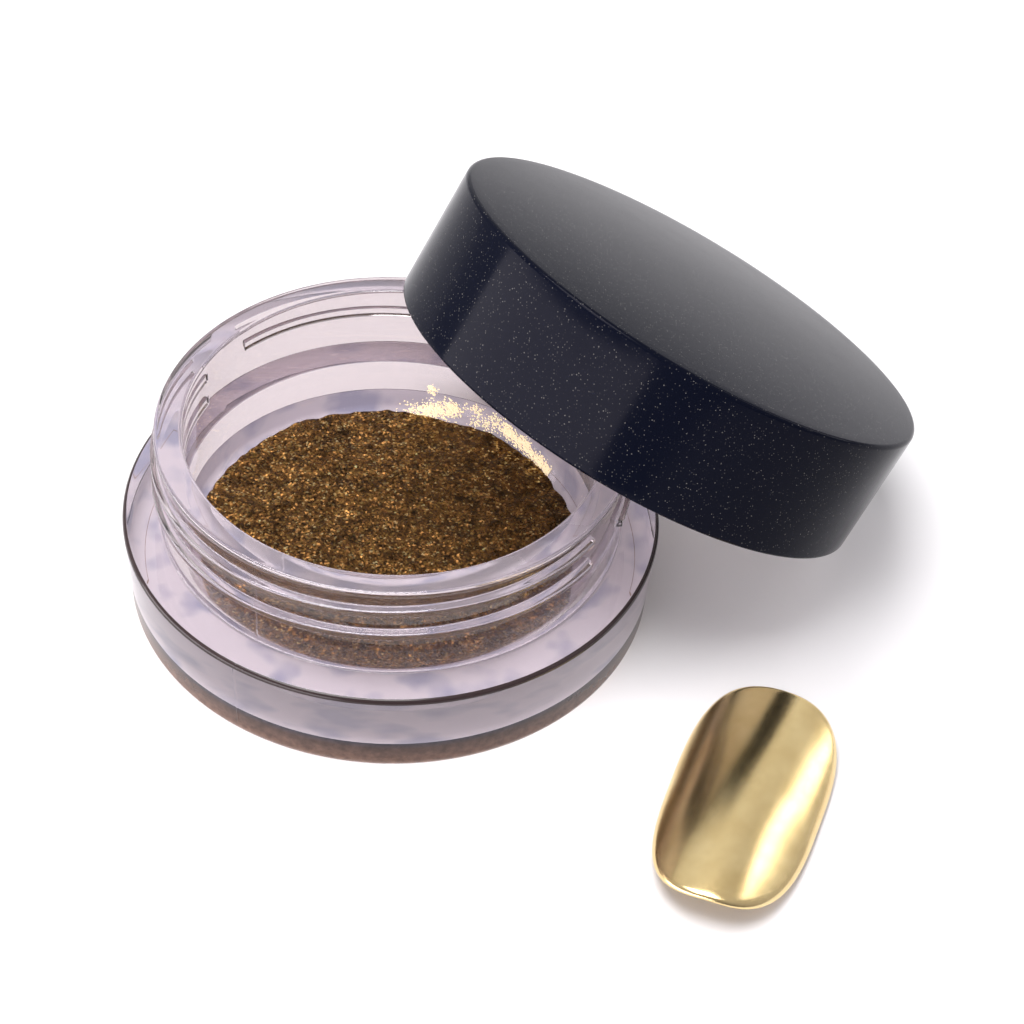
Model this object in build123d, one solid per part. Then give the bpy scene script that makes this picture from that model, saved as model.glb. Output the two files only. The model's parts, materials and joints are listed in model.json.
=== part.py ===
from build123d import *
import math
import os

# A screw-neck cosmetic pot of nail chrome powder, its screw cap and one nail tip.
# Millimetres. The origin is the centre of the pot's flat foot, and +Z is the pot's axis.
# The cap is off and leans on the far right of the pot's rim, with its lowest edge on the
# surface that the pot stands on. The nail tip lies on the same surface, in front.

# Pot, as radii and heights of its turned shape.
POT_RADIUS = 17.0
POT_FOOT_RADIUS = 16.65
POT_FOOT_EDGE = 0.95
SHOULDER_Z = 6.45
SHOULDER_EDGE = 0.3
NECK_RADIUS = 14.6
POT_HEIGHT = 13.2
LIP_RADIUS = 14.8
LIP_HEIGHT = 0.4
LIP_EDGE = 0.25
MOUTH_RADIUS = 13.05
BOWL_FLOOR_Z = 1.6
BOWL_CORNER = 5.0

# Powder: level near the wall, heaped a little in the middle.
POWDER_EDGE_Z = 3.7
POWDER_CROWN_Z = 4.1

# The thread on the neck: one start, with a gap in each turn at the two mould lines.
THREAD_PITCH = 1.9
THREAD_CREST_RADIUS = 15.05
THREAD_ROOT_WIDTH = 0.75
THREAD_CREST_WIDTH = 0.4
THREAD_SINK = 0.25
THREAD_TOP_Z = 12.0
FRONT_SPAN = (-205.0, -33.0)
BACK_SPAN = (-18.0, 138.0)
GAP_ANGLE = (FRONT_SPAN[1] + BACK_SPAN[0]) / 2

# Cap, in its own frame: the origin is the centre of its open edge, and +Z is towards its top.
CAP_RADIUS = 16.55
CAP_EDGE_Z = 8.65
CAP_CROWN_Z = 9.28
CAP_TOP_EDGE = 0.3
CAP_RIM_EDGE = 0.2
CAP_BORE_RADIUS = 15.3
CAP_ROOF_Z = 7.5
CAP_ROOF_CORNER = 0.4
CAP_THREAD_CREST_RADIUS = 14.85
CAP_THREAD_LOW_Z = 4.0
CAP_THREAD_TURN = 240.0

# Liner: a foam disc inside the cap's top.
LINER_RADIUS = 14.85
LINER_THICKNESS = 1.0

# How the cap leans: the centre of its open edge, and where its axis points.
CAP_CENTRE = (14.72, 7.92, 8.93)
CAP_TILT = 32.67
CAP_LEAN_TOWARDS = 35.87

# Nail tip: a short shell with rounded corners, arched across its width and a little lengthwise.
NAIL_CENTRE = (22.3, -18.45)
NAIL_HEADING = -107.4
NAIL_LENGTH = 17.4
NAIL_FAR_WIDTH = 9.6
NAIL_NEAR_WIDTH = 9.0
NAIL_FAR_CORNER = 3.45
NAIL_NEAR_CORNER = 2.75
NAIL_ARCH = 2.3
NAIL_SAG = 0.45
NAIL_EDGE_Z = 0.45
NAIL_THICKNESS = 0.4
NAIL_STEPS = 32
NAIL_SPARE = 1.3


def save(part, node, colour):
    """Write one node's STEP file."""
    part.label = node
    part.color = colour
    export_step(part, os.path.join("parts", node + ".step"))


def turned(profile):
    """Turn a closed wire of radii and heights about the Z axis."""
    return revolve(make_face(profile), Axis.Z)


def ridge(root_radius, crest_radius, low_z, start_angle, span):
    """One stretch of thread, from a start angle, rising one pitch in each turn."""
    rise = THREAD_PITCH * span / 360
    path = Helix(THREAD_PITCH, rise, root_radius)
    outward = math.copysign(1, crest_radius - root_radius)
    sunk = -THREAD_SINK * outward
    height = crest_radius - root_radius
    root = THREAD_ROOT_WIDTH / 2
    crest = THREAD_CREST_WIDTH / 2
    section = Plane(origin=path @ 0, x_dir=(1, 0, 0), z_dir=path % 0)
    lower = [(sunk, -root), (0, -root), (height, -crest)]
    upper = [(height, crest), (0, root), (sunk, root)]
    outline = Polyline(*lower, *upper, close=True)
    solid = sweep(section * make_face(outline), path, is_frenet=True)
    return Pos(0, 0, low_z) * Rot(0, 0, start_angle) * solid


def thread_z(angle):
    """Height of the neck thread's middle at an angle, on the turn that starts below the lip."""
    return THREAD_TOP_Z + THREAD_PITCH * (angle - FRONT_SPAN[1]) / 360


def neck_ridges():
    """The thread's stretches: two turns in front and one behind, between the mould lines."""
    front = FRONT_SPAN[1] - FRONT_SPAN[0]
    back = BACK_SPAN[1] - BACK_SPAN[0]
    high_z = thread_z(FRONT_SPAN[0])
    low_z = high_z - THREAD_PITCH
    back_z = thread_z(BACK_SPAN[0] - 360)
    return [
        ridge(NECK_RADIUS, THREAD_CREST_RADIUS, high_z, FRONT_SPAN[0], front),
        ridge(NECK_RADIUS, THREAD_CREST_RADIUS, low_z, FRONT_SPAN[0], front),
        ridge(NECK_RADIUS, THREAD_CREST_RADIUS, back_z, BACK_SPAN[0], back),
    ]


def bowl_point(z):
    """Radius of the rounded bowl at a height below its straight wall."""
    arc_z = BOWL_FLOOR_Z + BOWL_CORNER
    return MOUTH_RADIUS - BOWL_CORNER + math.sqrt(BOWL_CORNER ** 2 - (arc_z - z) ** 2)


def pot():
    arc_z = BOWL_FLOOR_Z + BOWL_CORNER
    lip_z = POT_HEIGHT - LIP_HEIGHT
    foot_flat = (POT_FOOT_RADIUS - POT_FOOT_EDGE, 0)
    foot_side = (POT_FOOT_RADIUS, POT_FOOT_EDGE)
    shoulder_side = (POT_RADIUS, SHOULDER_Z - SHOULDER_EDGE)
    shoulder_top = (POT_RADIUS - SHOULDER_EDGE, SHOULDER_Z)
    lip_side = (LIP_RADIUS, POT_HEIGHT - LIP_EDGE)
    lip_top = (LIP_RADIUS - LIP_EDGE, POT_HEIGHT)
    mouth_top = (MOUTH_RADIUS + LIP_EDGE, POT_HEIGHT)
    mouth_side = (MOUTH_RADIUS, POT_HEIGHT - LIP_EDGE)
    bowl_side = (MOUTH_RADIUS, arc_z)
    bowl_floor = (MOUTH_RADIUS - BOWL_CORNER, BOWL_FLOOR_Z)
    with BuildLine() as profile:
        Polyline((0, BOWL_FLOOR_Z), (0, 0), foot_flat)
        RadiusArc(foot_flat, foot_side, -POT_FOOT_EDGE)
        Line(foot_side, shoulder_side)
        RadiusArc(shoulder_side, shoulder_top, -SHOULDER_EDGE)
        Polyline(
            shoulder_top,
            (NECK_RADIUS, SHOULDER_Z),
            (NECK_RADIUS, lip_z - LIP_EDGE / 2),
            (LIP_RADIUS, lip_z),
            lip_side,
        )
        RadiusArc(lip_side, lip_top, -LIP_EDGE)
        Line(lip_top, mouth_top)
        RadiusArc(mouth_top, mouth_side, -LIP_EDGE)
        Line(mouth_side, bowl_side)
        RadiusArc(bowl_side, bowl_floor, BOWL_CORNER)
        Line(bowl_floor, (0, BOWL_FLOOR_Z))
    body = Rot(0, 0, GAP_ANGLE) * turned(Plane.XZ * profile.line)
    return body.fuse(*neck_ridges())


def powder():
    """The powder in the bowl, from its floor to a surface that rises a little to the middle."""
    floor_radius = MOUTH_RADIUS - BOWL_CORNER
    edge_radius = bowl_point(POWDER_EDGE_Z)
    rise = POWDER_CROWN_Z - POWDER_EDGE_Z
    crown_radius = (edge_radius ** 2 + rise ** 2) / (2 * rise)
    with BuildLine() as profile:
        Polyline((0, POWDER_CROWN_Z), (0, BOWL_FLOOR_Z), (floor_radius, BOWL_FLOOR_Z))
        RadiusArc((floor_radius, BOWL_FLOOR_Z), (edge_radius, POWDER_EDGE_Z), -BOWL_CORNER)
        RadiusArc((edge_radius, POWDER_EDGE_Z), (0, POWDER_CROWN_Z), -crown_radius)
    return turned(Plane.XZ * profile.line)


def cap():
    """The cap in its own frame."""
    edge_radius = CAP_RADIUS - CAP_TOP_EDGE
    rise = CAP_CROWN_Z - CAP_EDGE_Z
    crown_radius = (edge_radius ** 2 + rise ** 2) / (2 * rise)
    roof = (CAP_BORE_RADIUS - CAP_ROOF_CORNER, CAP_ROOF_Z)
    bore = (CAP_BORE_RADIUS, CAP_ROOF_Z - CAP_ROOF_CORNER)
    rim_flat = (CAP_RADIUS - CAP_RIM_EDGE, 0)
    rim_side = (CAP_RADIUS, CAP_RIM_EDGE)
    top_side = (CAP_RADIUS, CAP_EDGE_Z - CAP_TOP_EDGE)
    top_edge = (edge_radius, CAP_EDGE_Z)
    with BuildLine() as profile:
        Polyline((0, CAP_CROWN_Z), (0, CAP_ROOF_Z), roof)
        RadiusArc(roof, bore, CAP_ROOF_CORNER)
        Polyline(bore, (CAP_BORE_RADIUS, 0), rim_flat)
        RadiusArc(rim_flat, rim_side, -CAP_RIM_EDGE)
        Line(rim_side, top_side)
        RadiusArc(top_side, top_edge, -CAP_TOP_EDGE)
        RadiusArc(top_edge, (0, CAP_CROWN_Z), -crown_radius)
    shell = turned(Plane.XZ * profile.line)
    return shell + ridge(CAP_BORE_RADIUS, CAP_THREAD_CREST_RADIUS, CAP_THREAD_LOW_Z, 0, CAP_THREAD_TURN)


def liner():
    """The liner disc in the cap's frame, against the cap's roof."""
    disc = Cylinder(LINER_RADIUS, LINER_THICKNESS, align=(Align.CENTER, Align.CENTER, Align.MAX))
    return Pos(0, 0, CAP_ROOF_Z) * disc


def leaning(part):
    """Move a piece from the cap's frame to where the cap leans."""
    lean = math.radians(CAP_LEAN_TOWARDS)
    tilt = math.radians(CAP_TILT)
    axis = (math.sin(tilt) * math.cos(lean), math.sin(tilt) * math.sin(lean), math.cos(tilt))
    level = (-math.sin(lean), math.cos(lean), 0)
    return Plane(origin=CAP_CENTRE, x_dir=level, z_dir=axis) * part


def nail_outline():
    """The nail's plan: a rounded shape whose corners and width change from the far to the near end."""
    points = []
    for step in range(NAIL_STEPS):
        angle = 2 * math.pi * step / NAIL_STEPS
        along = math.cos(angle)
        across = math.sin(angle)
        corner = NAIL_NEAR_CORNER if along > 0 else NAIL_FAR_CORNER
        x = math.copysign(abs(along) ** (2 / corner), along)
        y = math.copysign(abs(across) ** (2 / corner), across)
        width = NAIL_FAR_WIDTH + (NAIL_NEAR_WIDTH - NAIL_FAR_WIDTH) * (x + 1) / 2
        points.append((x * NAIL_LENGTH / 2, y * width / 2))
    return Spline(*points, periodic=True)


def nail_tip():
    """The nail tip: its plan cut through a shell that is round across and bent along."""
    half = NAIL_FAR_WIDTH / 2
    across = (half ** 2 + NAIL_ARCH ** 2) / (2 * NAIL_ARCH)
    along = (NAIL_LENGTH / 2) ** 2 / (2 * NAIL_SAG)
    crown_z = NAIL_EDGE_Z + NAIL_ARCH
    section = Pos(0, crown_z - across) * (Circle(across) - Circle(across - NAIL_THICKNESS))
    section = section & Rectangle(2 * across, crown_z, align=(Align.CENTER, Align.MIN))
    swing = math.degrees(NAIL_SPARE * NAIL_LENGTH / along)
    bend_axis = Axis((0, 0, crown_z - along), (0, 1, 0))
    shell = revolve(Plane.YZ * section, bend_axis, swing).rotate(bend_axis, -swing / 2)
    blank = extrude(make_face(nail_outline()), crown_z + NAIL_EDGE_Z)
    return Pos(NAIL_CENTRE[0], NAIL_CENTRE[1], 0) * Rot(0, 0, NAIL_HEADING) * (shell & blank)


os.makedirs("parts", exist_ok=True)
save(pot(), "pot", Color(0.85, 0.8, 0.86, 0.4))
save(powder(), "chrome_powder", Color(0.45, 0.33, 0.13))
save(leaning(cap()), "screw_cap", Color(0.02, 0.02, 0.04))
save(leaning(liner()), "cap_liner", Color(0.9, 0.9, 0.88))
save(nail_tip(), "nail_tip", Color(0.8, 0.65, 0.3))
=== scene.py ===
import json
import math
import random

import bpy
from mathutils import Matrix, Vector, noise


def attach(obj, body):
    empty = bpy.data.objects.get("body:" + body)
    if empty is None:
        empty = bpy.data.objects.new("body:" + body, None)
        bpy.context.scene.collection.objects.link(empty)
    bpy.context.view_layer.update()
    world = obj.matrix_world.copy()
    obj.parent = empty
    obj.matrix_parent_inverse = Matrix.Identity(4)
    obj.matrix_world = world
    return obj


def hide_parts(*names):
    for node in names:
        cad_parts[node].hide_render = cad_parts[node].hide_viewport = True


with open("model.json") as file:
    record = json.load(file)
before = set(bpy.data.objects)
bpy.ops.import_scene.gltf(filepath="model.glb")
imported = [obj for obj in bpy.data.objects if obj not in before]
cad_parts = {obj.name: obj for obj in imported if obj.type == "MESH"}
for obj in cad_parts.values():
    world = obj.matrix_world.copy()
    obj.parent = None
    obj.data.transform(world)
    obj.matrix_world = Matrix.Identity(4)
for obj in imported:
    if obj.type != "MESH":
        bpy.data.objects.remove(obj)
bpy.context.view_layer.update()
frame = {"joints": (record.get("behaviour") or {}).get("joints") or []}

# A clear screw-neck pot of gold chrome powder, its black cap leaning on it, and a nail tip.
# Sizes are in millimetres, and MM turns them into the frame's metres.
MM = 0.001

# Pot: radii and heights of its turned shape.
POT_RADIUS = 17.0
FOOT_RADIUS = 16.65
FOOT_EDGE = 0.95
SHOULDER_Z = 6.45
SHOULDER_EDGE = 0.3
NECK_RADIUS = 14.6
NECK_ROOT = 0.15
POT_HEIGHT = 13.2
LIP_RADIUS = 14.8
LIP_Z = 12.8
LIP_EDGE = 0.25
MOUTH_RADIUS = 13.05
BOWL_FLOOR_Z = 1.6
FOOT_BAND_Z = 2.5
BOWL_CORNER = 5.0

# Powder: the mean level of its middle, and its gap to the bowl.
POWDER_LEVEL_Z = 3.75
POWDER_GAP = 0.03
# Angles that the smear of powder on the bowl's wall runs between.
SMEAR_SPAN = (34, 84)

# The thread on the neck: one start, with a gap in each turn at the mould lines.
THREAD_PITCH = 1.9
THREAD_HEIGHT = 0.45
THREAD_ROOT_WIDTH = 0.75
THREAD_CREST_WIDTH = 0.4
THREAD_TOP_Z = 12.0
FRONT_SPAN = (-205.0, -33.0)
BACK_SPAN = (-18.0, 138.0)
THREAD_END_DEGREES = 0.7
ROW_OFFSETS = (-0.42, -0.38, -0.36, -0.34, -0.32, -0.3, -0.28, -0.26, -0.23, -0.2, 0.0,
               0.2, 0.23, 0.26, 0.28, 0.3, 0.32, 0.34, 0.36, 0.38, 0.42)
CLOSE_TO_LIP = 0.03
# A profile height from here up is the number of one of the neck's climbing rows.
NECK_ROWS = 1000
SEAM_ANGLES = (-120.0, 60.0)
SEAM_HEIGHT = 0.02
SEAM_DEGREES = 0.3

# Cap, in its own frame: the origin is the centre of its open edge, and +Z is towards its top.
CAP_RADIUS = 16.55
CAP_EDGE_Z = 8.65
CAP_CROWN_Z = 9.28
CAP_TOP_EDGE = 0.3
CAP_RIM_EDGE = 0.2
CAP_BORE_RADIUS = 15.3
CAP_ROOF_Z = 7.5
CAP_ROOF_CORNER = 0.4
CAP_THREAD_HEIGHT = 0.45
CAP_THREAD_LOW_Z = 4.0
CAP_THREAD_TURN = 240.0

LINER_RADIUS = 14.85
LINER_THICKNESS = 1.0
LINER_DENT = 0.12
LINER_DENT_RADIUS = 12.9

# Nail tip: its place on the table, and its shape.
NAIL_CENTRE = (22.3, -18.45)
NAIL_HEADING = -107.4
NAIL_LENGTH = 17.4
NAIL_FAR_WIDTH = 9.6
NAIL_NEAR_WIDTH = 9.0
NAIL_FAR_CORNER = 3.45
NAIL_NEAR_CORNER = 2.75
NAIL_ARCH = 2.3
NAIL_SAG = 0.45
NAIL_EDGE_Z = 0.45
NAIL_EDGE_ROUND = 0.2

# Material slots of the pot after its clear plastic (the underside's painted glow, the foot's painted
# reflection and the shoulder edge's painted dark tint), and of the powder after its fill (the residue's
# painted glow).
PANEL_SLOT = 1
BAND_SLOT = 2
EDGE_SLOT = 3
RESIDUE_SLOT = 1

# Camera: a long lens, above the front of the pot and rolled a little.
CAMERA_PLACE = (5.497, -120.169, 119.632)
CAMERA_ELEVATION = 42.586
CAMERA_ROLL = 3.299
CAMERA_LENS = 91.4
CAMERA_SHIFT = (0.031, -0.034)


def arc(centre, radius, start, end, steps):
    """Points of an arc in the (radius, height) plane, from a start to an end angle in degrees."""
    points = []
    for step in range(steps + 1):
        angle = math.radians(start + (end - start) * step / steps)
        points.append((centre[0] + radius * math.cos(angle), centre[1] + radius * math.sin(angle)))
    return points


def run(start, end, steps):
    """Evenly spaced points from start up to but not at end."""
    points = []
    for step in range(steps):
        share = step / steps
        points.append((start[0] + (end[0] - start[0]) * share, start[1] + (end[1] - start[1]) * share))
    return points


def circle(radius, z, angles):
    """Points all round at a radius and a height, one for each angle in degrees."""
    points = []
    for angle in angles:
        turn = math.radians(angle)
        points.append((radius * math.cos(turn), radius * math.sin(turn), z))
    return points


def skin(rings):
    """Faces between rings of vertex numbers. A ring with one number is a point on the axis."""
    faces = []
    for low, high in zip(rings, rings[1:]):
        count = max(len(low), len(high))
        for i in range(count):
            j = (i + 1) % count
            if len(low) == 1:
                faces.append((low[0], high[j], high[i]))
            elif len(high) == 1:
                faces.append((low[i], low[j], high[0]))
            else:
                faces.append((low[i], low[j], high[j], high[i]))
    return faces


def smooth(value):
    """A smooth step from 0 to 1."""
    value = min(max(value, 0.0), 1.0)
    return value * value * (3 - 2 * value)


def make_piece(name, verts, faces, body, node, sharp_degrees):
    """A smooth-shaded mesh piece in metres, riding on a body in place of a CAD node."""
    mesh = bpy.data.meshes.new(name)
    mesh.from_pydata([Vector(v) * MM for v in verts], [], faces)
    mesh.validate()
    mesh.shade_smooth()
    mesh.set_sharp_from_angle(angle=math.radians(sharp_degrees))
    piece = bpy.data.objects.new(name, mesh)
    bpy.context.scene.collection.objects.link(piece)
    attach(piece, body)
    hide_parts(node)
    return piece


def turned(profile, angles, shape=None):
    """Vertices and faces of a closed turned solid. The profile starts and ends on the axis."""
    verts = []
    rings = []
    for radius, z in profile:
        if radius == 0:
            rings.append([len(verts)])
            verts.append((0, 0, z))
            continue
        ring = []
        for angle in angles:
            r, h = shape(radius, z, angle) if shape else (radius, z)
            ring.append(len(verts))
            verts.append((r * math.cos(math.radians(angle)), r * math.sin(math.radians(angle)), h))
        rings.append(ring)
    return verts, skin(rings)


def ridge_height(offset, height):
    """How far a thread stands out at a distance above or below its middle."""
    flank = (THREAD_ROOT_WIDTH - THREAD_CREST_WIDTH) / 2
    return height * smooth((THREAD_ROOT_WIDTH / 2 - abs(offset)) / flank)


def neck_row(mark, angle):
    """Radius and height of one of the neck's rows, which climb with the thread."""
    line, step = divmod(mark, len(ROW_OFFSETS))
    turn = angle - 360 if angle > (BACK_SPAN[1] + FRONT_SPAN[0] + 360) / 2 else angle
    front = turn < (FRONT_SPAN[1] + BACK_SPAN[0]) / 2
    span = FRONT_SPAN if front else BACK_SPAN
    middle = THREAD_TOP_Z + THREAD_PITCH * ((turn - FRONT_SPAN[1]) / 360 - 2 + line)
    middle = min(middle, LIP_Z - LIP_EDGE / 2 - ROW_OFFSETS[-1] - CLOSE_TO_LIP)
    cut = line < 1 if front else line != 1
    inside = min(turn - span[0], span[1] - turn)
    share = 0 if cut else smooth(inside / THREAD_END_DEGREES + 0.5)
    out = ridge_height(ROW_OFFSETS[step], THREAD_HEIGHT) * share
    return NECK_RADIUS + out, middle + ROW_OFFSETS[step]


def seam(angle):
    """How far the mould line stands out at an angle."""
    nearest = min(abs((angle - at + 180) % 360 - 180) for at in SEAM_ANGLES)
    return SEAM_HEIGHT * smooth(1 - nearest / SEAM_DEGREES)


def pot_angles():
    """Even angles all round, with closer ones at the mould lines and the thread's ends."""
    angles = {round(-180 + step * 0.9375, 4) for step in range(384)}
    for at in SEAM_ANGLES:
        angles |= {round(at + step * 0.1, 4) for step in range(-4, 5)}
    for at in FRONT_SPAN + BACK_SPAN:
        angles |= {round((at + step * 0.12 + 180) % 360 - 180, 4) for step in range(-4, 5)}
    return sorted(angles)


def pot_shape(radius, z, angle):
    """The pot's outside with its thread and mould lines."""
    if z >= NECK_ROWS:
        out, height = neck_row(z - NECK_ROWS, angle)
        return out + seam(angle), height
    if radius > MOUTH_RADIUS + 1 and z > FOOT_EDGE:
        room = POT_RADIUS - radius if radius > POT_RADIUS - 0.2 else 1
        return radius + min(seam(angle), room), z
    return radius, z


def pot_profile():
    """The pot's section, from the middle of its underside round to the middle of its bowl."""
    points = [(0, 0)]
    points += run((1, 0), (FOOT_RADIUS - FOOT_EDGE, 0), 8)
    points += arc((FOOT_RADIUS - FOOT_EDGE, FOOT_EDGE), FOOT_EDGE, -90, 0, 14)
    band = (FOOT_RADIUS + 0.1, FOOT_BAND_Z)
    points += run((FOOT_RADIUS + 0.01, 1.2), band, 4)
    points += run(band, (POT_RADIUS, SHOULDER_Z - SHOULDER_EDGE), 8)
    points += arc((POT_RADIUS - SHOULDER_EDGE, SHOULDER_Z - SHOULDER_EDGE), SHOULDER_EDGE, 0, 90, 8)
    points += run((POT_RADIUS - 0.5, SHOULDER_Z), (NECK_RADIUS + NECK_ROOT, SHOULDER_Z), 6)
    points += arc((NECK_RADIUS + NECK_ROOT, SHOULDER_Z + NECK_ROOT), NECK_ROOT, -90, -162, 5)
    points += [(NECK_RADIUS, SHOULDER_Z + NECK_ROOT)]
    points += [(NECK_RADIUS, NECK_ROWS + mark) for mark in range(3 * len(ROW_OFFSETS))]
    points += [(NECK_RADIUS, LIP_Z - LIP_EDGE / 2)]
    points += [(LIP_RADIUS - 0.1, LIP_Z)]
    points += [(LIP_RADIUS - 0.03, LIP_Z + 0.03), (LIP_RADIUS, LIP_Z + 0.1)]
    points += arc((LIP_RADIUS - LIP_EDGE, POT_HEIGHT - LIP_EDGE), LIP_EDGE, 0, 90, 8)
    points += run((LIP_RADIUS - 0.4, POT_HEIGHT), (MOUTH_RADIUS + LIP_EDGE, POT_HEIGHT), 5)
    points += arc((MOUTH_RADIUS + LIP_EDGE, POT_HEIGHT - LIP_EDGE), LIP_EDGE, 90, 180, 8)
    points += run((MOUTH_RADIUS, POT_HEIGHT - 0.4), (MOUTH_RADIUS, BOWL_FLOOR_Z + BOWL_CORNER), 12)
    points += arc((MOUTH_RADIUS - BOWL_CORNER, BOWL_FLOOR_Z + BOWL_CORNER), BOWL_CORNER, 0, -90, 40)
    points += run((MOUTH_RADIUS - BOWL_CORNER - 0.5, BOWL_FLOOR_Z), (0.5, BOWL_FLOOR_Z), 10)
    points += [(0, BOWL_FLOOR_Z)]
    return points


def foot_lining(angles, first):
    """A strip just inside the foot's band, so that the band isn't seen through the clear pot; it takes the
    underside's painted glow.
    """
    verts = []
    profile = arc((FOOT_RADIUS - FOOT_EDGE, FOOT_EDGE), FOOT_EDGE - 0.03, -88, 0, 8)
    profile.append((FOOT_RADIUS + 0.06, FOOT_BAND_Z - 0.01))
    for radius, z in profile:
        verts += circle(radius, z, angles)
    count = len(angles)
    faces = []
    for row in range(len(profile) - 1):
        low = first + row * count
        for i in range(count):
            j = (i + 1) % count
            faces.append((low + j, low + i, low + count + i, low + count + j))
    return verts, faces


def bowl_radius(z):
    """Radius of the bowl's inside at a height."""
    arc_z = BOWL_FLOOR_Z + BOWL_CORNER
    if z >= arc_z:
        return MOUTH_RADIUS
    return MOUTH_RADIUS - BOWL_CORNER + math.sqrt(max(BOWL_CORNER ** 2 - (arc_z - z) ** 2, 0))


def powder_edge_z(angle):
    """Height of the powder where it meets the bowl: higher on the left, and ragged."""
    left = 0.5 - 0.5 * math.cos(math.radians(angle + 10))
    around = Vector((math.cos(math.radians(angle)), math.sin(math.radians(angle)), 3.1))
    ripple = 0.16 * noise.noise(around * 4.0) + 0.12 * noise.noise(around * 17.0)
    return 3.42 + 0.5 * left + ripple


def powder_top(angles):
    """The powder's uneven grainy top, as rows of points from its edge to near its middle."""
    rings = 96
    top = []
    for ring in range(rings, 0, -1):
        share = ring / rings
        row = []
        for angle in angles:
            edge_z = powder_edge_z(angle)
            radius = (bowl_radius(edge_z) - POWDER_GAP) * share
            x = radius * math.cos(math.radians(angle))
            y = radius * math.sin(math.radians(angle))
            level = POWDER_LEVEL_Z + (edge_z - POWDER_LEVEL_Z) * share ** 3
            heap = 0.22 * noise.noise(Vector((x / 5.0, y / 5.0, 0.7)))
            clump = 0.10 * noise.noise(Vector((x / 1.1, y / 1.1, 5.2)))
            fine = 0.05 * noise.noise(Vector((x / 0.38, y / 0.38, 9.9)))
            row.append((x, y, level + (heap + clump) * smooth((1 - share) * 6) + fine))
        top.append(row)
    return top


def powder_sides(angles):
    """The powder's underside and sides, as rows of points that follow the bowl with a hair's gap."""
    low = BOWL_FLOOR_Z + POWDER_GAP
    sides = []
    for radius, z in run((0, low), (MOUTH_RADIUS - BOWL_CORNER, low), 5)[1:]:
        sides.append(circle(radius, z, angles))
    wall_rows = 14
    for step in range(wall_rows):
        share = (step / wall_rows) ** 1.5
        row = []
        for angle in angles:
            z = low + (powder_edge_z(angle) - 0.04 - low) * share
            row += circle(bowl_radius(z) - POWDER_GAP, z, [angle])
        sides.append(row)
    return sides


def powder_piece():
    """The powder and the residue on the bowl's wall, with the number of faces in the fill."""
    angles = [step * 360 / 320 for step in range(320)]
    verts = []
    rows = []
    for row in powder_sides(angles) + powder_top(angles):
        rows.append(list(range(len(verts) + 1, len(verts) + 1 + len(angles))))
        verts += row
    verts.insert(0, (0, 0, BOWL_FLOOR_Z + POWDER_GAP))
    faces = skin([[0]] + rows + [[len(verts)]])
    verts.append((0, 0, POWDER_LEVEL_Z))
    fill = len(faces)
    stuck_verts, stuck_faces = wall_residue()
    faces += [tuple(len(verts) + corner for corner in face) for face in stuck_faces]
    verts += stuck_verts
    piece = make_piece("chrome_powder_fill", verts, faces, "pot", "chrome_powder", 180)
    return piece, fill


def grain(centre, outward, size):
    """A flat grain lying on the bowl's wall: six corners and eight faces."""
    side = Vector((0, 0, 1)).cross(outward).normalized()
    rise = outward.cross(side)
    corners = [centre + outward * 0.02, centre - outward * 0.02]
    for step in range(4):
        turn = math.radians(90 * step + random.uniform(-25, 25))
        reach = size * random.uniform(0.6, 1.0)
        corners.append(centre + side * reach * math.cos(turn) + rise * reach * math.sin(turn))
    faces = []
    for step in range(4):
        near = 2 + step
        far = 2 + (step + 1) % 4
        faces += [(0, near, far), (1, far, near)]
    return corners, faces


def wall_residue():
    """Powder stuck to the bowl's wall behind the fill: a smear at the back right and two clumps."""
    smear = [(random.uniform(*SMEAR_SPAN), None, 0.26) for _ in range(2600)]
    clumps = [(random.gauss(81.2, 0.9), 5.15, 0.22) for _ in range(90)]
    clumps += [(random.gauss(84, 2.6), 3.9, 0.28) for _ in range(260)]
    verts = []
    faces = []
    for angle, height, spread in smear + clumps:
        if height is None:
            share = (angle - SMEAR_SPAN[0]) / (SMEAR_SPAN[1] - SMEAR_SPAN[0])
            height = POWDER_LEVEL_Z + 0.55 * math.sin(math.pi * share ** 1.4)
            spread *= 0.55 + 0.9 * share
        z = random.gauss(height, spread)
        patch = noise.noise(Vector((angle / 5.0, z / 0.7, 1.3)))
        if z < 3.2 or patch < random.uniform(-0.6, 0.25):
            continue
        outward = Vector((math.cos(math.radians(angle)), math.sin(math.radians(angle)), 0))
        centre = outward * (bowl_radius(z) - 0.06) + Vector((0, 0, z))
        corners, shell = grain(centre, outward, random.uniform(0.05, 0.13))
        faces += [tuple(len(verts) + corner for corner in face) for face in shell]
        verts += [tuple(corner) for corner in corners]
    return verts, faces


def cap_place():
    """The matrix from the cap's frame to the row's frame, from the cap's turning joint."""
    joint = next(j for j in frame["joints"] if j["name"] == "cap_turn")
    axis = Vector(joint["axis"]).normalized()
    level = Vector((0, 0, 1)).cross(axis).normalized()
    across = axis.cross(level)
    turn = Matrix((level, across, axis)).transposed()
    return Matrix.Translation(Vector(joint["pos_m"]) / MM) @ turn.to_4x4()


def cap_shape(radius, z, angle):
    """The cap's bore with its thread."""
    if abs(radius - CAP_BORE_RADIUS) < 0.001:
        middle = CAP_THREAD_LOW_Z + THREAD_PITCH * angle / 360
        inside = min(angle, CAP_THREAD_TURN - angle)
        share = smooth(inside / THREAD_END_DEGREES + 0.5)
        return radius - ridge_height(z - middle, CAP_THREAD_HEIGHT) * share, z
    return radius, z


def dome_z(radius):
    """Height of the cap's domed top at a radius."""
    edge = CAP_RADIUS - CAP_TOP_EDGE
    rise = CAP_CROWN_Z - CAP_EDGE_Z
    return CAP_EDGE_Z + rise * (1 - (radius / edge) ** 2)


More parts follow.
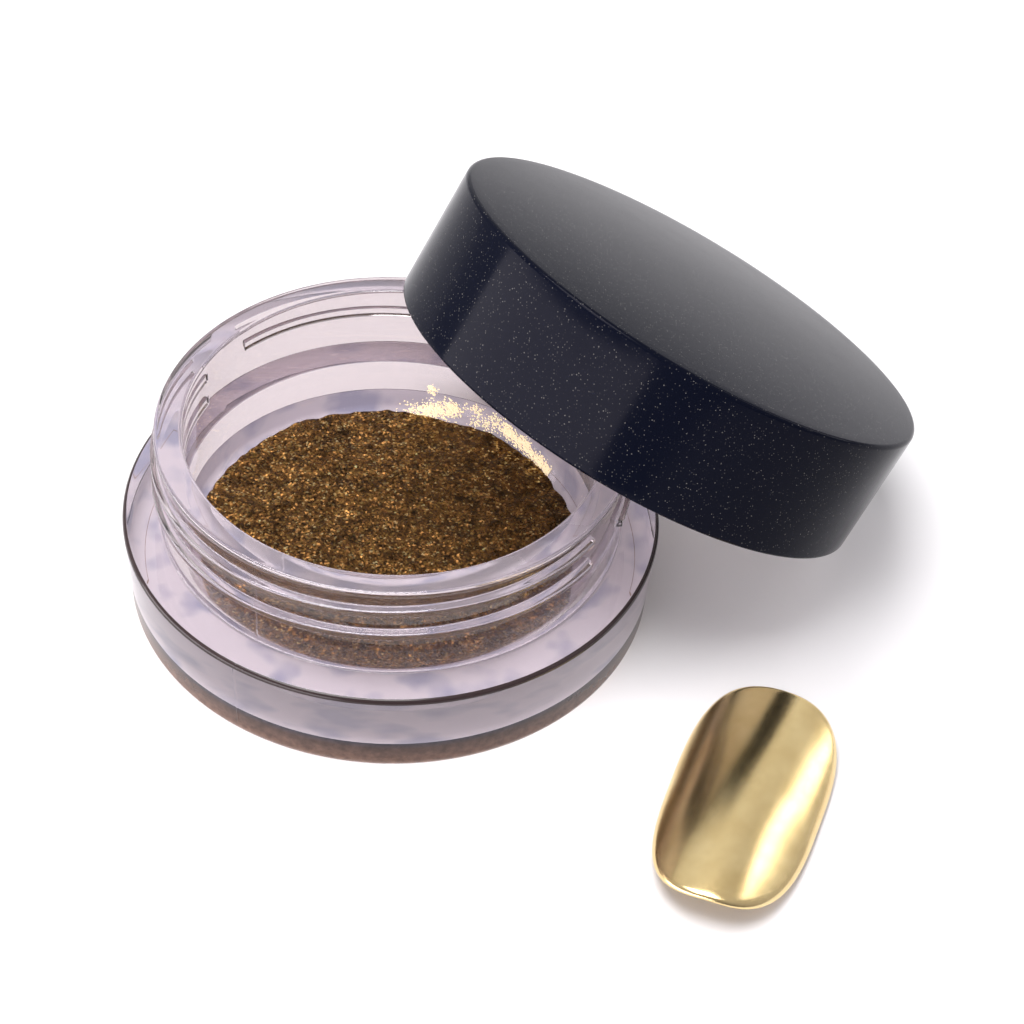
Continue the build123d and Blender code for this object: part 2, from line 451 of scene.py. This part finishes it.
def cap_profile():
    """The cap's section, from the middle of its roof inside round to the middle of its top."""
    edge = CAP_RADIUS - CAP_TOP_EDGE
    roof = CAP_BORE_RADIUS - CAP_ROOF_CORNER
    points = [(0, CAP_ROOF_Z)]
    points += run((1, CAP_ROOF_Z), (roof, CAP_ROOF_Z), 6)
    points += arc((roof, CAP_ROOF_Z - CAP_ROOF_CORNER), CAP_ROOF_CORNER, 90, 0, 6)
    points += run((CAP_BORE_RADIUS, CAP_ROOF_Z - CAP_ROOF_CORNER - 0.1), (CAP_BORE_RADIUS, 0.1), 80)
    points += [(CAP_BORE_RADIUS + 0.02, 0.04), (CAP_BORE_RADIUS + 0.1, 0)]
    points += arc((CAP_RADIUS - CAP_RIM_EDGE, CAP_RIM_EDGE), CAP_RIM_EDGE, -90, 0, 6)
    points += run((CAP_RADIUS, 0.5), (CAP_RADIUS, CAP_EDGE_Z - CAP_TOP_EDGE), 6)
    points += arc((edge, CAP_EDGE_Z - CAP_TOP_EDGE), CAP_TOP_EDGE, 0, 86, 10)
    for step in range(1, 24):
        radius = edge * (1 - step / 24)
        points.append((radius, dome_z(radius)))
    points.append((0, CAP_CROWN_Z))
    return points


def liner_profile():
    """The liner's section: a disc whose edge is pressed in a little where the rim seals."""
    low = CAP_ROOF_Z - LINER_THICKNESS
    points = [(0, low)]
    points += run((1, low), (LINER_DENT_RADIUS - 0.3, low), 4)
    points += run((LINER_DENT_RADIUS, low + LINER_DENT), (LINER_RADIUS - 0.15, low + LINER_DENT), 4)
    points += arc((LINER_RADIUS - 0.15, low + LINER_DENT + 0.15), 0.15, -90, 0, 4)
    points += [(LINER_RADIUS, CAP_ROOF_Z - 0.1), (LINER_RADIUS - 0.1, CAP_ROOF_Z - 0.01)]
    points += [(1, CAP_ROOF_Z - 0.01), (0, CAP_ROOF_Z - 0.01)]
    return points


def placed(verts, matrix):
    """The vertices moved by a matrix."""
    return [tuple(matrix @ Vector(v)) for v in verts]


def nail_plan(angle, scale):
    """A point of the nail's plan at an angle, scaled about its middle: along and across it."""
    along = math.cos(angle)
    across = math.sin(angle)
    corner = NAIL_NEAR_CORNER if along > 0 else NAIL_FAR_CORNER
    x = math.copysign(abs(along) ** (2 / corner), along) * scale
    y = math.copysign(abs(across) ** (2 / corner), across) * scale
    width = NAIL_FAR_WIDTH + (NAIL_NEAR_WIDTH - NAIL_FAR_WIDTH) * (x + 1) / 2
    return x * NAIL_LENGTH / 2, y * width / 2


def nail_top(x, y):
    """Height of the nail's top at a place along and across it."""
    half = NAIL_FAR_WIDTH / 2
    radius = (half ** 2 + NAIL_ARCH ** 2) / (2 * NAIL_ARCH)
    arch = math.sqrt(radius ** 2 - y ** 2) - (radius - NAIL_ARCH)
    wave = 0.035 * noise.noise(Vector((x / 4.0, y / 2.2, 2.4)))
    return NAIL_EDGE_Z + arch - NAIL_SAG * (x / (NAIL_LENGTH / 2)) ** 2 + wave


def nail_piece():
    """The nail tip: a thin arched shell with a rounded edge."""
    spokes = 240
    rings = 40
    edge = NAIL_EDGE_ROUND
    inner = 1 - 2 * edge / NAIL_FAR_WIDTH
    angles = [2 * math.pi * step / spokes for step in range(spokes)]
    rows = []
    for ring in range(1, rings + 1):
        scale = inner * ring / rings
        rows.append([(*nail_plan(a, scale), 1.0) for a in angles])
    for step in range(1, 8):
        bend = math.pi * step / 8
        scale = inner + (1 - inner) * math.sin(bend)
        rows.append([(*nail_plan(a, scale), (1 + math.cos(bend)) / 2) for a in angles])
    for ring in range(rings, 0, -1):
        scale = inner * ring / rings
        rows.append([(*nail_plan(a, scale), 0.0) for a in angles])
    turn = Matrix.Translation((*NAIL_CENTRE, 0)) @ Matrix.Rotation(math.radians(NAIL_HEADING), 4, "Z")

    def place(x, y, share):
        top = nail_top(x, y)
        low = max(top - NAIL_EDGE_Z, 0.0)
        return tuple(turn @ Vector((x, y, low + (top - low) * share)))

    verts = [place(0, 0, 1.0)]
    indices = [[0]]
    for row in rows:
        indices.append(list(range(len(verts), len(verts) + spokes)))
        verts += [place(*point) for point in row]
    indices.append([len(verts)])
    verts.append(place(0, 0, 0.0))
    faces = []
    for high, low in zip(indices, indices[1:]):
        for i in range(spokes):
            j = (i + 1) % spokes
            if len(high) == 1:
                faces.append((high[0], low[i], low[j]))
            elif len(low) == 1:
                faces.append((high[j], high[i], low[0]))
            else:
                faces.append((high[j], high[i], low[i], low[j]))
    return make_piece("gold_nail_tip", verts, faces, "nail_tip", "nail_tip", 180)


class Nodes:
    """A material's node tree, with short calls to add and link nodes."""

    def __init__(self, name):
        self.material = bpy.data.materials.new(name)
        self.material.use_nodes = True
        self.tree = self.material.node_tree
        self.shader = self.tree.nodes["Principled BSDF"]
        self.place = self.add("ShaderNodeTexCoord").outputs["Object"]

    def add(self, kind, **settings):
        """A new node of a kind, with its settings."""
        node = self.tree.nodes.new(kind)
        for key, value in settings.items():
            setattr(node, key, value)
        return node

    def link(self, source, target):
        """Joins an output socket to an input socket."""
        self.tree.links.new(source, target)

    def set(self, **values):
        """Sets the shader's own sockets, whose spaces are written as underscores."""
        for key, value in values.items():
            self.shader.inputs[key.replace("_", " ")].default_value = value

    def noise(self, size, detail=2.0, roughness=0.5):
        """A noise pattern whose features are about size millimetres across."""
        node = self.add("ShaderNodeTexNoise")
        node.inputs["Scale"].default_value = 1 / (size * MM)
        node.inputs["Detail"].default_value = detail
        node.inputs["Roughness"].default_value = roughness
        self.link(self.place, node.inputs["Vector"])
        return node

    def cells(self, size):
        """Voronoi cells about size millimetres across."""
        node = self.add("ShaderNodeTexVoronoi")
        node.inputs["Scale"].default_value = 1 / (size * MM)
        self.link(self.place, node.inputs["Vector"])
        return node

    def ramp(self, source, stops):
        """A colour for each value of the source, from stops of a position and a colour."""
        node = self.add("ShaderNodeValToRGB")
        elements = node.color_ramp.elements
        while len(elements) < len(stops):
            elements.new(0.5)
        for element, (position, colour) in zip(elements, stops):
            element.position = position
            element.color = (*colour, 1)
        self.link(source, node.inputs["Fac"])
        return node.outputs["Color"]

    def grey_ramp(self, source, stops):
        """A number for each value of the source, from stops of a position and a number."""
        return self.ramp(source, [(position, (value, value, value)) for position, value in stops])

    def math(self, operation, first, second):
        """A calculation with two values, each a number or a socket."""
        node = self.add("ShaderNodeMath", operation=operation)
        for socket, value in zip(node.inputs, (first, second)):
            if isinstance(value, (int, float)):
                socket.default_value = value
            else:
                self.link(value, socket)
        return node.outputs[0]

    def mix(self, share, first, second):
        """A colour between two colours. Each value is a number, a colour or a socket."""
        node = self.add("ShaderNodeMix", data_type="RGBA")
        for socket, value in zip((node.inputs[0], node.inputs[6], node.inputs[7]), (share, first, second)):
            if isinstance(value, (int, float)):
                socket.default_value = value
            elif isinstance(value, tuple):
                socket.default_value = (*value, 1)
            else:
                self.link(value, socket)
        return node.outputs[2]

    def multiply(self, first, second):
        """The product of two colour sockets."""
        node = self.add("ShaderNodeMix", data_type="RGBA", blend_type="MULTIPLY")
        node.inputs[0].default_value = 1.0
        self.link(first, node.inputs[6])
        self.link(second, node.inputs[7])
        return node.outputs[2]

    def bump(self, height, strength, distance):
        """Bump from a height, whose full range stands distance millimetres."""
        node = self.add("ShaderNodeBump")
        node.inputs["Strength"].default_value = strength
        node.inputs["Distance"].default_value = distance * MM
        self.link(height, node.inputs["Height"])
        self.link(node.outputs["Normal"], self.shader.inputs["Normal"])

    def flakes(self, cell_colour, tilt):
        """Tilts each cell's normal its own way, like loose metal flakes."""
        centred = self.add("ShaderNodeVectorMath", operation="SUBTRACT")
        self.link(cell_colour, centred.inputs[0])
        centred.inputs[1].default_value = (0.5, 0.5, 0.5)
        scaled = self.add("ShaderNodeVectorMath", operation="SCALE")
        self.link(centred.outputs[0], scaled.inputs[0])
        scaled.inputs["Scale"].default_value = tilt
        geometry = self.add("ShaderNodeNewGeometry")
        added = self.add("ShaderNodeVectorMath", operation="ADD")
        self.link(geometry.outputs["Normal"], added.inputs[0])
        self.link(scaled.outputs[0], added.inputs[1])
        unit = self.add("ShaderNodeVectorMath", operation="NORMALIZE")
        self.link(added.outputs[0], unit.inputs[0])
        self.link(unit.outputs[0], self.shader.inputs["Normal"])


def clear_plastic():
    """The clear pot, tinted a little pink, with a faint haze."""
    n = Nodes("clear_plastic")
    n.set(Base_Color=(0.66, 0.59, 0.605, 1), Transmission_Weight=1.0, IOR=1.5)
    haze = n.noise(1.6, 4.0, 0.6)
    n.link(n.grey_ramp(haze.outputs["Fac"], [(0.35, 0.02), (0.75, 0.05)]), n.shader.inputs["Roughness"])
    n.bump(n.noise(6.0, 1.0).outputs["Fac"], 0.1, 0.03)
    return n.material


def base_panel():
    """The matte underside with a painted glow: it stands for the light that the clear base pipes in from
    around.
    """
    n = Nodes("base_panel")
    n.set(Roughness=0.9, Emission_Color=(0.62, 0.55, 0.60, 1), Emission_Strength=0.36)
    clouds = n.noise(3.6, 2.0, 0.5)
    stops = [(0.36, (0.16, 0.17, 0.26)), (0.52, (0.40, 0.37, 0.41))]
    n.link(n.ramp(clouds.outputs["Fac"], stops), n.shader.inputs["Base Color"])
    return n.material


def foot_band():
    """The foot's wall: a painted reflection that stands for the powder that the polished base mirrors
    there.
    """
    n = Nodes("foot_band")
    n.set(Roughness=0.22, IOR=1.35)
    split = n.add("ShaderNodeSeparateXYZ")
    n.link(n.place, split.inputs[0])
    height = n.math("DIVIDE", split.outputs["Z"], FOOT_BAND_Z * MM)
    # The painted reflection is a lighter brown at the bottom and darkens to a dark bluish line at the top.
    stops = [(0.0, (0.30, 0.20, 0.16)), (0.3, (0.16, 0.09, 0.065))]
    stops += [(0.8, (0.07, 0.04, 0.032)), (1.0, (0.035, 0.035, 0.05))]
    by_height = n.ramp(height, stops)
    streaks = n.noise(0.5, 3.0, 0.6)
    shade = n.grey_ramp(streaks.outputs["Fac"], [(0.3, 0.6), (0.7, 1.2)])
    n.link(n.multiply(by_height, shade), n.shader.inputs["Base Color"])
    return n.material


def shoulder_edge():
    """The shoulder's rounded edge, with a painted dark tint that stands for the powder's dark seen through
    it by refraction.
    """
    n = Nodes("shoulder_edge")
    n.set(Base_Color=(0.03, 0.018, 0.018, 1), Transmission_Weight=0.15, IOR=1.4, Roughness=0.15)
    return n.material


def gold_powder():
    """Loose metal flakes from dark brown to pale gold, in darker and lighter lumps."""
    n = Nodes("gold_powder")
    n.set(Metallic=0.9)
    fine = n.cells(0.13)
    lumps = n.noise(0.7, 3.0, 0.6)
    split = n.add("ShaderNodeSeparateColor")
    n.link(fine.outputs["Color"], split.inputs[0])
    stops = [(0.0, (0.04, 0.017, 0.004)), (0.5, (0.14, 0.063, 0.017)), (0.8, (0.27, 0.14, 0.04))]
    stops += [(0.93, (0.5, 0.31, 0.1)), (1.0, (1.0, 0.8, 0.42))]
    base = n.ramp(split.outputs[0], stops)
    shade = n.grey_ramp(lumps.outputs["Fac"], [(0.34, 0.4), (0.64, 1.35)])
    n.link(n.multiply(base, shade), n.shader.inputs["Base Color"])
    n.link(n.grey_ramp(split.outputs[1], [(0.0, 0.28), (1.0, 0.6)]), n.shader.inputs["Roughness"])
    n.flakes(fine.outputs["Color"], 1.7)
    return n.material


def thin_powder():
    """The same powder where it is a thin layer, with a painted glow that stands for the light that comes
    through it.
    """
    n = Nodes("thin_powder")
    n.set(Base_Color=(1.0, 0.86, 0.58, 1), Roughness=0.5)
    n.set(Emission_Color=(1.0, 0.82, 0.52, 1), Emission_Strength=0.35)
    return n.material


def black_plastic():
    """The black gloss cap, with fine pale specks."""
    n = Nodes("black_plastic")
    n.set(IOR=1.13, Specular_Tint=(0.95, 0.90, 0.98, 1))
    specks = n.cells(0.13)
    split = n.add("ShaderNodeSeparateColor")
    n.link(specks.outputs["Color"], split.inputs[0])
    dot = n.math("LESS_THAN", specks.outputs["Distance"], 0.3)
    share = n.math("POWER", split.outputs[0], 9.0)
    speck = n.math("MULTIPLY", share, dot)
    n.link(n.mix(speck, (0.0035, 0.0045, 0.0105), (0.13, 0.125, 0.12)), n.shader.inputs["Base Color"])
    haze = n.noise(3.0, 4.0, 0.6)
    n.link(n.grey_ramp(haze.outputs["Fac"], [(0.3, 0.10), (0.8, 0.19)]), n.shader.inputs["Roughness"])
    n.bump(n.noise(0.5, 3.0).outputs["Fac"], 0.12, 0.01)
    return n.material


def liner_foam():
    """White foam with small pores, painted darker at their middles for the shade that falls in them."""
    n = Nodes("liner_foam")
    pores = n.cells(0.22)
    stops = [(0.0, (0.70, 0.70, 0.68)), (0.6, (0.86, 0.86, 0.84))]
    n.link(n.ramp(pores.outputs["Distance"], stops), n.shader.inputs["Base Color"])
    n.set(Roughness=0.75)
    n.bump(pores.outputs["Distance"], 0.4, 0.03)
    return n.material


def gold_coating():
    """Polished gold with a fine grain."""
    n = Nodes("gold_coating")
    n.set(Metallic=1.0)
    patches = n.noise(2.5, 3.0, 0.6)
    stops = [(0.3, (0.78, 0.58, 0.27)), (0.7, (0.90, 0.70, 0.36))]
    n.link(n.ramp(patches.outputs["Fac"], stops), n.shader.inputs["Base Color"])
    fine = n.noise(0.09, 2.0, 0.6)
    n.link(n.grey_ramp(fine.outputs["Fac"], [(0.3, 0.14), (0.75, 0.26)]), n.shader.inputs["Roughness"])
    n.bump(fine.outputs["Fac"], 0.35, 0.012)
    return n.material


def paint(piece, *materials):
    """Gives a piece its materials, in the order of its slots."""
    piece.data.materials.clear()
    for material in materials:
        piece.data.materials.append(material)


def build_pot():
    """The pot, with the faces of its underside, foot and shoulder's edge in their own slots."""
    verts, faces = turned(pot_profile(), pot_angles(), pot_shape)
    lining_verts, lining_faces = foot_lining(pot_angles(), len(verts))
    outside = len(faces)
    verts += lining_verts
    faces += lining_faces
    pot = make_piece("clear_pot", verts, faces, "pot", "pot", 50)
    pot.visible_shadow = False
    paint(pot, clear_plastic(), base_panel(), foot_band(), shoulder_edge())
    for polygon in pot.data.polygons:
        corners = [pot.data.vertices[index].co / MM for index in polygon.vertices]
        lowest = min(corner.z for corner in corners)
        highest = max(corner.z for corner in corners)
        out = corners[0].xy.length
        # The underside and the foot's lining take the painted glow.
        if highest < 0.001 or polygon.index >= outside:
            polygon.material_index = PANEL_SLOT
        # The foot's wall up to the band's top takes the painted reflection of the powder.
        elif highest < FOOT_BAND_Z + 0.001 and out > MOUTH_RADIUS:
            polygon.material_index = BAND_SLOT
        # The shoulder's rounded edge takes the painted dark tint.
        elif SHOULDER_Z - SHOULDER_EDGE - 0.01 < lowest < SHOULDER_Z - 0.02:
            if out > POT_RADIUS - SHOULDER_EDGE:
                polygon.material_index = EDGE_SLOT


def build_object():
    """All the pieces, each on its body and in its material."""
    build_pot()
    powder, fill = powder_piece()
    paint(powder, gold_powder(), thin_powder())
    # The residue's faces take the painted glow of thin powder.
    for polygon in powder.data.polygons[fill:]:
        polygon.material_index = RESIDUE_SLOT
    place = cap_place()
    angles = [step * 360 / 288 for step in range(288)]
    verts, faces = turned(cap_profile(), angles, cap_shape)
    cap = make_piece("black_cap", placed(verts, place), faces, "cap", "screw_cap", 50)
    paint(cap, black_plastic())
    verts, faces = turned(liner_profile(), angles)
    liner = make_piece("foam_liner", placed(verts, place), faces, "liner", "cap_liner", 50)
    paint(liner, liner_foam())
    paint(nail_piece(), gold_coating())


def area_light(name, place, aim, size, power, colour=(1, 1, 1)):
    """A rectangular light that faces a point, and that the camera doesn't see."""
    data = bpy.data.lights.new(name, "AREA")
    data.shape = "RECTANGLE"
    data.size = size[0] * MM
    data.size_y = size[1] * MM
    data.energy = power
    data.color = colour
    light = bpy.data.objects.new(name, data)
    light.location = Vector(place) * MM
    light.rotation_euler = (Vector(place) - Vector(aim)).to_track_quat("Z", "Y").to_euler()
    light.visible_camera = False
    bpy.context.scene.collection.objects.link(light)


def pale_floor():
    """A plain pale floor just under the object."""
    half = 900 * MM
    drop = -0.02 * MM
    corners = [(-half, -half, drop), (half, -half, drop), (half, half, drop), (-half, half, drop)]
    mesh = bpy.data.meshes.new("floor")
    mesh.from_pydata(corners, [], [(0, 1, 2, 3)])
    floor = bpy.data.objects.new("floor", mesh)
    bpy.context.scene.collection.objects.link(floor)
    n = Nodes("floor")
    n.set(Base_Color=(0.86, 0.845, 0.86, 1), Roughness=0.6)
    mesh.materials.append(n.material)


def surround():
    """A surround that is white behind the object, grey overhead and dark in front."""
    world = bpy.data.worlds.new("studio")
    bpy.context.scene.world = world
    world.use_nodes = True
    tree = world.node_tree
    background = tree.nodes["Background"]
    coordinates = tree.nodes.new("ShaderNodeTexCoord")
    split = tree.nodes.new("ShaderNodeSeparateXYZ")
    tree.links.new(coordinates.outputs["Generated"], split.inputs[0])
    forward = tree.nodes.new("ShaderNodeMath")
    forward.operation = "MULTIPLY_ADD"
    forward.inputs[1].default_value = 2.3
    tree.links.new(split.outputs["Y"], forward.inputs[0])
    tree.links.new(split.outputs["Z"], forward.inputs[2])
    shift = tree.nodes.new("ShaderNodeMath")
    shift.operation = "MULTIPLY_ADD"
    shift.inputs[1].default_value = 0.15
    shift.inputs[2].default_value = 0.5
    tree.links.new(forward.outputs[0], shift.inputs[0])
    ramp = tree.nodes.new("ShaderNodeValToRGB")
    tree.links.new(shift.outputs[0], ramp.inputs["Fac"])
    tree.links.new(ramp.outputs["Color"], background.inputs["Color"])
    stops = [(0.1, (0.08, 0.08, 0.10)), (0.5, (0.5, 0.49, 0.51))]
    stops += [(0.77, (0.62, 0.61, 0.62)), (0.86, (1.0, 1.0, 1.0))]
    elements = ramp.color_ramp.elements
    while len(elements) < len(stops):
        elements.new(0.5)
    for element, (position, colour) in zip(elements, stops):
        element.position = position
        element.color = (*colour, 1)
    background.inputs["Strength"].default_value = 0.92


def lights():
    """A soft light overhead, a narrow one at the back right, and a low panel at the front left."""
    area_light("overhead_softbox", (-70, -10, 450), (5, 0, 5), (300, 240), 2.0)
    area_light("side_softbox", (262, 122, 152), (22, -18, 2), (40, 230), 0.12, (1.0, 0.97, 0.93))
    area_light("left_panel", (-255, -160, 60), (10, 0, 8), (570, 130), 1.3, (1.0, 0.965, 0.975))


def camera():
    """The camera, from its place, elevation and roll."""
    elevation = math.radians(CAMERA_ELEVATION)
    roll = math.radians(CAMERA_ROLL)
    forward = Vector((0, math.cos(elevation), -math.sin(elevation)))
    right = Vector((1, 0, 0))
    up = right.cross(forward)
    rolled_right = math.cos(roll) * right + math.sin(roll) * up
    rolled_up = math.cos(roll) * up - math.sin(roll) * right
    data = bpy.data.cameras.new("camera")
    data.lens = CAMERA_LENS
    data.shift_x, data.shift_y = CAMERA_SHIFT
    data.clip_start = 1 * MM
    view = bpy.data.objects.new("camera", data)
    turn = Matrix((rolled_right, rolled_up, -forward)).transposed()
    view.matrix_world = Matrix.Translation(Vector(CAMERA_PLACE) * MM) @ turn.to_4x4()
    bpy.context.scene.collection.objects.link(view)
    bpy.context.scene.camera = view


random.seed(7)
camera()
pale_floor()
surround()
lights()
build_object()
bpy.context.scene.view_settings.view_transform = "Standard"
